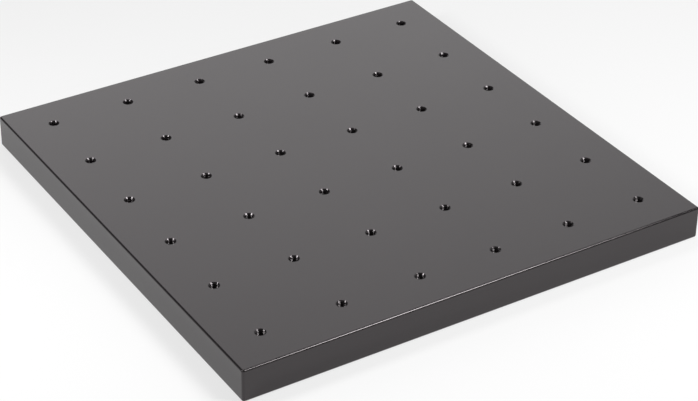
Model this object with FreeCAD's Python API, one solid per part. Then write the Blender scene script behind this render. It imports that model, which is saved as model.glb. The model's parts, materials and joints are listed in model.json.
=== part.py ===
# Base plate: a square slab of black anodised aluminium with a square grid of tapped through holes.
# Frame: origin at the centre of the underside, +Z up, X along the front edge, Y towards the back.
# Lengths are in millimetres, angles in degrees.

import FreeCAD, Part
import math
import os

# Slab
plate_length = 300.0  # along X
plate_width = 300.0  # along Y
plate_thickness = 20.0
face_edge_radius = 1.2  # around the top and the bottom face
corner_radius = 1.5  # down the four upright corners

# Hole grid
hole_pitch = 50.0  # between neighbouring axes, the same both ways
least_edge_margin = 25.0  # from the outermost axes to the slab's sides

# Tapped hole, M6: the core is the tapping drill's bore, and the rim is the countersink's on each face
thread_core_diameter = 5.0
countersink_rim_diameter = 6.5
countersink_angle = 90.0

# How far a cutter reaches past the face that it cuts, and the difference under which two lengths are equal
cut_overrun = 1.0
fit_play = 0.001

up = FreeCAD.Vector(0, 0, 1)
corner_of_slab = FreeCAD.Vector(-plate_length / 2, -plate_width / 2, 0)


def is_upright(edge):
    """Whether an edge runs from the underside to the top."""
    return math.isclose(edge.BoundBox.ZLength, plate_thickness)


def lies_flat(edge):
    """Whether an edge stays at one height, so that it borders the top or the bottom face."""
    return edge.BoundBox.ZLength < fit_play


def make_slab():
    """The slab with its upright corners rounded first, and then the whole outline of both faces."""
    block = Part.makeBox(plate_length, plate_width, plate_thickness, corner_of_slab)
    block = block.makeFillet(corner_radius, [edge for edge in block.Edges if is_upright(edge)])
    return block.makeFillet(face_edge_radius, [edge for edge in block.Edges if lies_flat(edge)])


def make_hole_cutter():
    """One hole's bore on the Z axis, which opens into a countersink at each face."""
    core_radius = thread_core_diameter / 2
    rim_radius = countersink_rim_diameter / 2
    flare = math.tan(math.radians(countersink_angle / 2))
    depth = (rim_radius - core_radius) / flare
    mouth_radius = rim_radius + cut_overrun * flare
    half_section = [
        FreeCAD.Vector(0, 0, -cut_overrun),
        FreeCAD.Vector(mouth_radius, 0, -cut_overrun),
        FreeCAD.Vector(core_radius, 0, depth),
        FreeCAD.Vector(core_radius, 0, plate_thickness - depth),
        FreeCAD.Vector(mouth_radius, 0, plate_thickness + cut_overrun),
        FreeCAD.Vector(0, 0, plate_thickness + cut_overrun),
    ]
    outline = Part.makePolygon(half_section + half_section[:1])
    return Part.Face(outline).revolve(FreeCAD.Vector(), up, 360)


def row_places(side):
    """Centred places of as many holes, one pitch apart, as a side of this length has room for."""
    count = 1 + int((side - 2 * least_edge_margin + fit_play) / hole_pitch)
    return [hole_pitch * (i - (count - 1) / 2) for i in range(count)]


def make_base_plate():
    """The slab with the whole grid of holes cut through it."""
    cutter = make_hole_cutter()
    cutters = [
        cutter.translated(FreeCAD.Vector(x, y, 0))
        for x in row_places(plate_length)
        for y in row_places(plate_width)
    ]
    return make_slab().cut(cutters)


os.makedirs("parts", exist_ok=True)
make_base_plate().exportStep("parts/base_plate.step")
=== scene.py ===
import json
import math

import bpy
from mathutils import Matrix, Vector


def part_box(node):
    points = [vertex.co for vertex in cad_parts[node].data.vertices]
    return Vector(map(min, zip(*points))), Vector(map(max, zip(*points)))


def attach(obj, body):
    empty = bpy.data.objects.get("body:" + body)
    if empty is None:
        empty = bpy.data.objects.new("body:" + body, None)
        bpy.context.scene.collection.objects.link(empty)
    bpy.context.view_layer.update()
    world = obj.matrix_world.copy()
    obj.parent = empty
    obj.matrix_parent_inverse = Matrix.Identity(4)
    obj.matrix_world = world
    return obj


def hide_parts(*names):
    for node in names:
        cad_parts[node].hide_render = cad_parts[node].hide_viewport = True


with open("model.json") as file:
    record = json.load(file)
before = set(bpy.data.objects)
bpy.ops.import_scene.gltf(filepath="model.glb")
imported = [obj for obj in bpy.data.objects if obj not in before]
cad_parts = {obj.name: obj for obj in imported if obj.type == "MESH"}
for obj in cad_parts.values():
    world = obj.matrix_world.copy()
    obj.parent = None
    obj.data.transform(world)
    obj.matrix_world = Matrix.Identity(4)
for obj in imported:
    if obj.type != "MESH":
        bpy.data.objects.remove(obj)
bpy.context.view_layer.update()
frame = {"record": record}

MM = 0.001
WHOLE_TURN = 2 * math.pi

# Camera: the place that it looks at on the top face, and where it stands from there, in metres and degrees
CAMERA_TARGET = Vector((-0.0179, -0.0404, 0.0200))
CAMERA_DISTANCE = 1.2566
CAMERA_AZIMUTH = -32.18
CAMERA_ELEVATION = 32.61
CAMERA_ROLL = 0.62
CAMERA_LENS = 113.25  # millimetres
CAMERA_SENSOR = 36  # millimetres wide

# Slab, in millimetres: its outer size is the frame's
EDGE_RADIUS = 1.2  # around the top and the bottom face
CORNER_RADIUS = 1.5  # down the four upright corners
EDGE_SEGMENTS = 6
CORNER_SEGMENTS = 6
LEAST_UPRIGHT = 1.0  # an edge that rises by more than this is one of the upright corners

# M6 thread with a pitch of 1 mm, in millimetres
THREAD_PITCH = 1.0
THREAD_ROOT_RADIUS = 3.0  # the bottom of the groove, the screw's nominal radius
THREAD_FLANK_ANGLE = 30.0  # each flank from square to the axis, in degrees
CREST_CHAMFER = 0.05  # the worn corner of each turn, at 45 degrees
THREAD_STEPS = 22  # per turn
THREAD_LEAD_IN = 2  # turns of the tap below the plate
THREAD_START_TURN = 137.5  # degrees from each hole's start of thread to the next one's: no two look alike

# Countersink of each hole's mouth, in millimetres
RIM_RADIUS = 3.25
RIM_STEPS = 48

# How far a cutter reaches past the face that it cuts, in millimetres
OVERRUN = 1.0

# Black anodised aluminium: the body under the oxide, and the oxide skin's own sheen
ANODISE_DARK = "#121011"
ANODISE_LIGHT = "#161415"
OXIDE_SPECULAR = 0.65  # dense aluminium oxide mirrors a little more than a plastic does
OXIDE_TINT = "#fff6f9"
SHEEN_ROUGHNESS = (0.16, 0.20)  # in the smoothest and the roughest clouds
CLOUD_SIZE = 40.0  # millimetres
CLOUD_DETAIL = 3.0  # finer and finer layers of noise, and how much each counts beside the last
CLOUD_DETAIL_SHARE = 0.55
CLOUD_RANGE = (0.3, 0.7)  # the noise's values that give the smoothest and the roughest sheen
GRAIN_SIZE = 0.3  # millimetres, coarser than the blasted skin's 0.05, so that it shows close up
GRAIN_DETAIL = 2.0
GRAIN_DETAIL_SHARE = 0.6
GRAIN_HEIGHT = 0.010  # millimetres

# Floor and light. In a brightness 1 is white. A place is two angles in degrees, the first from the right
# towards the back and the second up
WHITE = "#ffffff"
FLOOR_SIDE = 8.0  # metres
FLOOR_GAP = 0.02  # millimetres under the plate, so that floor and underside don't lie in one plane
FLOOR_COLOUR = "#ebebeb"
FLOOR_GLOW = 0.6
SOFTBOXES = {
    # name: (place; distance, width and height in metres; brightness)
    "right_softbox": (-51, 51.5, 1.0, 0.36, 0.37, 17.5),
    "left_softbox": (172, 42, 0.63, 0.13, 0.15, 26.0),
}
ROOM = 0.09  # the brightness of the room between its pale walls
WALLS = {
    # name: (place of its middle; how many degrees from there it starts to fade and has faded; brightness)
    "back_wall": (64.5, 16, 4, 38, 1.51),
    "back_wall_left_end": (88, 20, 2, 26, 0.35),
    "back_left_wall": (150, 0, 10, 32, 0.6),
    "left_wall": (205, 6, 20, 40, 0.5),
    "front_wall": (265, 6, 15, 32, 0.5),
    "right_wall": (-12, 6, 12, 38, 0.5),
    "ceiling": (0, 90, 4, 26, 0.3),
}

# Distance under which two vertices are one, and the angle in degrees past which an edge is sharp
MERGE_DISTANCE = 0.001 * MM
SHARP_ANGLE = 25.0

# How far large faces outweigh small ones in the smooth shading: 50 is not at all, and 100 is the most
LARGE_FACE_WEIGHT = 100

# The Mix node has its sockets once for each kind of value: the numbers of those for colours
MIX_FIRST = 6
MIX_SECOND = 7
MIX_RESULT = 2


def deselect_all():
    """Leaves nothing selected and nothing active."""
    bpy.ops.object.select_all(action="DESELECT")
    bpy.context.view_layer.objects.active = None


def make_only(piece):
    """Selects one object and makes it the active one."""
    deselect_all()
    piece.select_set(True)
    bpy.context.view_layer.objects.active = piece


def settle(piece, name):
    """Names a finished piece and puts its place into its mesh."""
    make_only(piece)
    bpy.ops.object.transform_apply(location=True, rotation=True, scale=True)
    piece.name = name
    piece.data.name = name


def apply_modifier(piece, kind, **settings):
    """Adds a modifier with its settings and applies it."""
    make_only(piece)
    modifier = piece.modifiers.new(kind.lower(), kind)
    for key, value in settings.items():
        setattr(modifier, key, value)
    bpy.ops.object.modifier_apply(modifier=modifier.name)


def combine(piece, other, operation):
    """Joins another solid on, or cuts it out, and deletes it."""
    apply_modifier(piece, "BOOLEAN", operation=operation, object=other, solver="EXACT")
    bpy.data.objects.remove(other)


def round_edges(piece, wanted, radius, segments):
    """Rounds the edges whose two ends pass a test."""
    bpy.ops.object.mode_set(mode="EDIT")
    bpy.ops.mesh.select_mode(type="EDGE")
    bpy.ops.mesh.select_all(action="DESELECT")
    bpy.ops.object.mode_set(mode="OBJECT")
    points = piece.data.vertices
    for edge in piece.data.edges:
        edge.select = wanted(*(points[i].co for i in edge.vertices))
    bpy.ops.object.mode_set(mode="EDIT")
    bpy.ops.mesh.bevel(offset=radius * MM, segments=segments, affect="EDGES")
    bpy.ops.object.mode_set(mode="OBJECT")


def make_slab(low, high):
    """The slab with its upright corners rounded first, and then the outline of both faces."""
    deselect_all()
    bpy.ops.mesh.primitive_cube_add(size=1, location=(low + high) / 2, scale=high - low)
    slab = bpy.context.object
    bpy.ops.object.transform_apply(location=True, rotation=True, scale=True)
    round_edges(slab, lambda a, b: abs(a.z - b.z) > LEAST_UPRIGHT * MM, CORNER_RADIUS, CORNER_SEGMENTS)
    round_edges(slab, lambda a, b: abs(a.z - b.z) < MERGE_DISTANCE, EDGE_RADIUS, EDGE_SEGMENTS)
    return slab


def thread_section(core_radius):
    """The points of one turn's outline, as radius and height: the thread's crest, and then its groove."""
    corner_radius = core_radius + CREST_CHAMFER
    flank = (THREAD_ROOT_RADIUS - corner_radius) * math.tan(math.radians(THREAD_FLANK_ANGLE))
    crest = THREAD_PITCH - 2 * (flank + CREST_CHAMFER)
    return [
        (core_radius, 0),
        (core_radius, crest),
        (corner_radius, crest + CREST_CHAMFER),
        (THREAD_ROOT_RADIUS, crest + CREST_CHAMFER + flank),
        (corner_radius, THREAD_PITCH - CREST_CHAMFER),
        (core_radius, THREAD_PITCH),
    ]


def close_ends(tube, middle):
    """In edit mode, closes a tube's open ends below and above its middle, each with faces to one point."""
    bpy.ops.mesh.select_mode(type="EDGE")
    for sign in (-1, 1):
        bpy.ops.mesh.select_all(action="DESELECT")
        bpy.ops.mesh.select_non_manifold(extend=False, use_boundary=True)
        bpy.ops.object.mode_set(mode="OBJECT")
        at_end = [sign * (vertex.co.z - middle) > 0 for vertex in tube.data.vertices]
        for edge in tube.data.edges:
            edge.select = edge.select and at_end[edge.vertices[0]]
        for vertex in tube.data.vertices:
            vertex.select = vertex.select and at_end[vertex.index]
        bpy.ops.object.mode_set(mode="EDIT")
        bpy.ops.mesh.extrude_edges_move()
        bpy.ops.mesh.merge(type="CENTER")


def make_tap(core_radius, low_z, high_z):
    """The solid that a tap clears: a screw of the thread's form, longer than the hole at both ends."""
    section = thread_section(core_radius)
    start = low_z - THREAD_LEAD_IN * THREAD_PITCH
    turns = math.ceil((high_z - start) / THREAD_PITCH) + 1

    # The outline's first point is a small plane merged to its centre, and the others are extruded from it
    deselect_all()
    bpy.ops.mesh.primitive_plane_add(size=MM, location=(0, 0, 0))
    tap = bpy.context.object
    bpy.ops.object.mode_set(mode="EDIT")
    bpy.ops.mesh.select_mode(type="VERT")
    bpy.ops.mesh.select_all(action="SELECT")
    bpy.ops.mesh.merge(type="CENTER")
    bpy.ops.transform.translate(value=(section[0][0] * MM, 0, (start + section[0][1]) * MM))
    for (r0, z0), (r1, z1) in zip(section, section[1:]):
        step = ((r1 - r0) * MM, 0, (z1 - z0) * MM)
        bpy.ops.mesh.extrude_region_move(TRANSFORM_OT_translate={"value": step})
    bpy.ops.object.mode_set(mode="OBJECT")

    apply_modifier(
        tap, "SCREW", axis="Z", screw_offset=THREAD_PITCH * MM, angle=WHOLE_TURN, iterations=turns,
        steps=THREAD_STEPS, render_steps=THREAD_STEPS, use_smooth_shade=False,
    )
    bpy.ops.object.mode_set(mode="EDIT")
    bpy.ops.mesh.select_mode(type="VERT")
    bpy.ops.mesh.select_all(action="SELECT")
    bpy.ops.mesh.remove_doubles(threshold=MERGE_DISTANCE)
    close_ends(tap, (start + turns * THREAD_PITCH / 2) * MM)
    bpy.ops.mesh.select_all(action="SELECT")
    bpy.ops.mesh.normals_make_consistent(inside=False)
    bpy.ops.object.mode_set(mode="OBJECT")
    return tap


def make_countersink(face_z, sign):
    """A cone whose side passes through the hole's rim at 45 degrees, with its point inside the hole. It is
    turned by half a step, so that none of its corners stands at the angle of one of the thread's."""
    length = RIM_RADIUS + OVERRUN
    deselect_all()
    bpy.ops.mesh.primitive_cone_add(
        vertices=RIM_STEPS, radius1=length * MM, radius2=0, depth=length * MM,
        location=(0, 0, (face_z + sign * (OVERRUN - length / 2)) * MM),
        rotation=(math.pi if sign > 0 else 0, 0, WHOLE_TURN / RIM_STEPS / 2),
    )
    cone = bpy.context.object
    bpy.ops.object.transform_apply(location=True, rotation=True, scale=True)
    return cone


def make_hole_cutter(core_radius, low_z, high_z):
    """One hole on the Z axis as a solid: the tap with a countersink at each face."""
    cutter = make_tap(core_radius, low_z, high_z)
    combine(cutter, make_countersink(high_z, 1), "UNION")
    combine(cutter, make_countersink(low_z, -1), "UNION")
    return cutter


def repeat_at_holes(cutter, holes):
    """Copies the cutter to every hole, each time with its thread turned further, and makes the copies one."""
    deselect_all()
    for number, hole in enumerate(holes):
        copy = cutter.copy()
        copy.data = cutter.data.copy()
        copy.location = (hole["pos_m"][0], hole["pos_m"][1], 0)
        copy.rotation_euler.z = math.radians(number * THREAD_START_TURN)
        bpy.context.scene.collection.objects.link(copy)
        copy.select_set(True)
        bpy.context.view_layer.objects.active = copy
    bpy.ops.object.join()
    cutters = bpy.context.object
    bpy.ops.object.transform_apply(location=True, rotation=True, scale=True)
    bpy.data.objects.remove(cutter)
    return cutters


def make_plate(low, high, holes):
    """The slab with every hole drilled, tapped and countersunk on both faces."""
    cutter = make_hole_cutter(holes[0]["dims"]["r_mm"], low.z / MM, high.z / MM)
    cutters = repeat_at_holes(cutter, holes)
    plate = make_slab(low, high)
    combine(plate, cutters, "DIFFERENCE")

    make_only(plate)
    bpy.ops.object.shade_smooth_by_angle(angle=math.radians(SHARP_ANGLE))
    apply_modifier(plate, "WEIGHTED_NORMAL", keep_sharp=True, weight=LARGE_FACE_WEIGHT)
    return plate


def linear(hex_code):
    """An sRGB hex colour as the linear values that a shader takes."""
    channels = [int(hex_code[i:i + 2], 16) / 255 for i in (1, 3, 5)]
    return [c / 12.92 if c <= 0.04045 else ((c + 0.055) / 1.055) ** 2.4 for c in channels] + [1.0]


def add_node(tree, kind, settings=None, links=None):
    """Adds a node. Settings are its properties or its sockets' values, and links are its sockets' sources."""
    node = tree.nodes.new(kind)
    for key, value in (settings or {}).items():
        if isinstance(key, str) and hasattr(node, key):
            setattr(node, key, value)
        else:
            node.inputs[key].default_value = value
    for key, source in (links or {}).items():
        tree.links.new(source, node.inputs[key])
    return node


def new_material(name):
    """An empty material with its node tree."""
    material = bpy.data.materials.new(name)
    material.use_nodes = True
    material.node_tree.nodes.clear()
    return material, material.node_tree


def make_black_anodised():
    """Black anodised aluminium, blasted fine before the bath: a near-black body under a clear satin oxide
    skin, with a grain almost too fine to see and faint clouds where the skin is a little smoother."""
    material, tree = new_material("black_anodised_aluminium")
    place = add_node(tree, "ShaderNodeTexCoord").outputs["Object"]
    clouds = add_node(
        tree, "ShaderNodeTexNoise",
        {"Scale": 1 / (CLOUD_SIZE * MM), "Detail": CLOUD_DETAIL, "Roughness": CLOUD_DETAIL_SHARE},
        {"Vector": place},
    ).outputs["Fac"]
    grain = add_node(
        tree, "ShaderNodeTexNoise",
        {"Scale": 1 / (GRAIN_SIZE * MM), "Detail": GRAIN_DETAIL, "Roughness": GRAIN_DETAIL_SHARE},
        {"Vector": place},
    ).outputs["Fac"]
    body = add_node(
        tree, "ShaderNodeMix",
        {"data_type": "RGBA", MIX_FIRST: linear(ANODISE_DARK), MIX_SECOND: linear(ANODISE_LIGHT)},
        {"Factor": clouds},
    ).outputs[MIX_RESULT]
    roughness = add_node(
        tree, "ShaderNodeMapRange",
        {
            "From Min": CLOUD_RANGE[0], "From Max": CLOUD_RANGE[1],
            "To Min": SHEEN_ROUGHNESS[0], "To Max": SHEEN_ROUGHNESS[1],
        },
        {"Value": clouds},
    ).outputs["Result"]
    bump = add_node(
        tree, "ShaderNodeBump", {"Strength": 1.0, "Distance": GRAIN_HEIGHT * MM}, {"Height": grain}
    ).outputs["Normal"]
    shader = add_node(
        tree, "ShaderNodeBsdfPrincipled",
        {"Metallic": 0.0, "Specular IOR Level": OXIDE_SPECULAR, "Specular Tint": linear(OXIDE_TINT)},
        {"Base Color": body, "Roughness": roughness, "Normal": bump},
    ).outputs["BSDF"]
    add_node(tree, "ShaderNodeOutputMaterial", links={"Surface": shader})
    return material


def make_camera():
    """The camera at the photograph's viewing angle."""
    azimuth, elevation, roll = (math.radians(a) for a in (CAMERA_AZIMUTH, CAMERA_ELEVATION, CAMERA_ROLL))
    turn = Matrix.Rotation(azimuth, 4, "Z") @ Matrix.Rotation(math.pi / 2 - elevation, 4, "X")
    stand = Matrix.Translation(CAMERA_TARGET) @ turn @ Matrix.Translation((0, 0, CAMERA_DISTANCE))
    data = bpy.data.cameras.new("camera")
    data.lens = CAMERA_LENS
    data.sensor_width = CAMERA_SENSOR
    camera = bpy.data.objects.new("camera", data)
    camera.matrix_world = stand @ Matrix.Rotation(roll, 4, "Z")
    bpy.context.scene.collection.objects.link(camera)
    bpy.context.scene.camera = camera


def make_floor():
    """The plain pale floor. Part of its white is its own glow, which only the camera and reflections see, so
    that it looks evenly white and still keeps the object's shadow."""
    material, tree = new_material("matt_white_board")
    light_path = add_node(tree, "ShaderNodeLightPath").outputs
    seen = light_path["Is Camera Ray"]
    for ray in ("Is Glossy Ray", "Is Transmission Ray"):
        maximum = add_node(tree, "ShaderNodeMath", {"operation": "MAXIMUM"}, {0: seen, 1: light_path[ray]})
        seen = maximum.outputs["Value"]
    share = add_node(
        tree, "ShaderNodeMath", {"operation": "MULTIPLY", 1: FLOOR_GLOW}, {0: seen}
    ).outputs["Value"]
    board = add_node(tree, "ShaderNodeBsdfDiffuse", {"Color": linear(FLOOR_COLOUR)}).outputs["BSDF"]
    glow = add_node(tree, "ShaderNodeEmission", {"Color": linear(WHITE), "Strength": 1.0}).outputs["Emission"]
    shader = add_node(tree, "ShaderNodeMixShader", links={0: share, 1: board, 2: glow}).outputs["Shader"]
    add_node(tree, "ShaderNodeOutputMaterial", links={"Surface": shader})

    deselect_all()
    bpy.ops.mesh.primitive_plane_add(size=FLOOR_SIDE, location=(0, 0, -FLOOR_GAP * MM))
    floor = bpy.context.object
    floor.data.materials.append(material)
    settle(floor, "floor")


def direction(azimuth, elevation):
    """The unit vector at so many degrees from the right towards the back, and so many up."""
    azimuth, elevation = math.radians(azimuth), math.radians(elevation)
    return Vector((
        math.cos(azimuth) * math.cos(elevation), math.sin(azimuth) * math.cos(elevation), math.sin(elevation),
    ))


def make_softbox(name, azimuth, elevation, distance, width, height, brightness):
    """An oblong softbox that faces the object and isn't seen by the camera itself."""
    way = direction(azimuth, elevation)
    data = bpy.data.lights.new(name, "AREA")
    data.shape = "RECTANGLE"
    data.size, data.size_y = width, height
    data.energy = brightness * math.pi * width * height

    softbox = bpy.data.objects.new(name, data)
    facing = way.to_track_quat("Z", "Y").to_matrix().to_4x4()
    softbox.matrix_world = Matrix.Translation(way * distance) @ facing
    softbox.visible_camera = False
    bpy.context.scene.collection.objects.link(softbox)


def make_world():
    """The room: dim all round, with a ceiling and soft pale walls for the plate's sheen to mirror."""
    world = bpy.data.worlds.new("studio")
    world.use_nodes = True
    tree = world.node_tree
    tree.nodes.clear()
    way = add_node(tree, "ShaderNodeTexCoord").outputs["Generated"]
    glows = []
    for azimuth, elevation, fade_start, fade_end, brightness in WALLS.values():
        middle = direction(azimuth, elevation)
        nearness = add_node(
            tree, "ShaderNodeVectorMath", {"operation": "DOT_PRODUCT", 1: middle}, {0: way}
        ).outputs["Value"]
        glows.append(add_node(
            tree, "ShaderNodeMapRange",
            {
                "interpolation_type": "SMOOTHSTEP", "To Min": 0.0, "To Max": brightness,
                "From Min": math.cos(math.radians(fade_end)), "From Max": math.cos(math.radians(fade_start)),
            },
            {"Value": nearness},
        ).outputs["Result"])
    total = add_node(tree, "ShaderNodeMath", {"operation": "ADD", 1: ROOM}, {0: glows[0]}).outputs["Value"]
    for glow in glows[1:]:
        total = add_node(tree, "ShaderNodeMath", {"operation": "ADD"}, {0: total, 1: glow}).outputs["Value"]
    background = add_node(
        tree, "ShaderNodeBackground", {"Color": linear(WHITE)}, {"Strength": total}
    ).outputs["Background"]
    add_node(tree, "ShaderNodeOutputWorld", links={"Surface": background})
    bpy.context.scene.world = world


make_camera()
make_world()
make_floor()
for softbox_name, setting in SOFTBOXES.items():
    make_softbox(softbox_name, *setting)
bpy.context.scene.view_settings.view_transform = "Standard"

plate_low, plate_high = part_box("base_plate")
tapped_holes = [mount for mount in frame["record"]["mounts"] if mount["kind"] == "threaded_hole"]
plate = make_plate(plate_low, plate_high, tapped_holes)
plate.data.materials.clear()
plate.data.materials.append(make_black_anodised())
settle(plate, "tapped_plate")
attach(plate, "root")
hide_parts("base_plate")
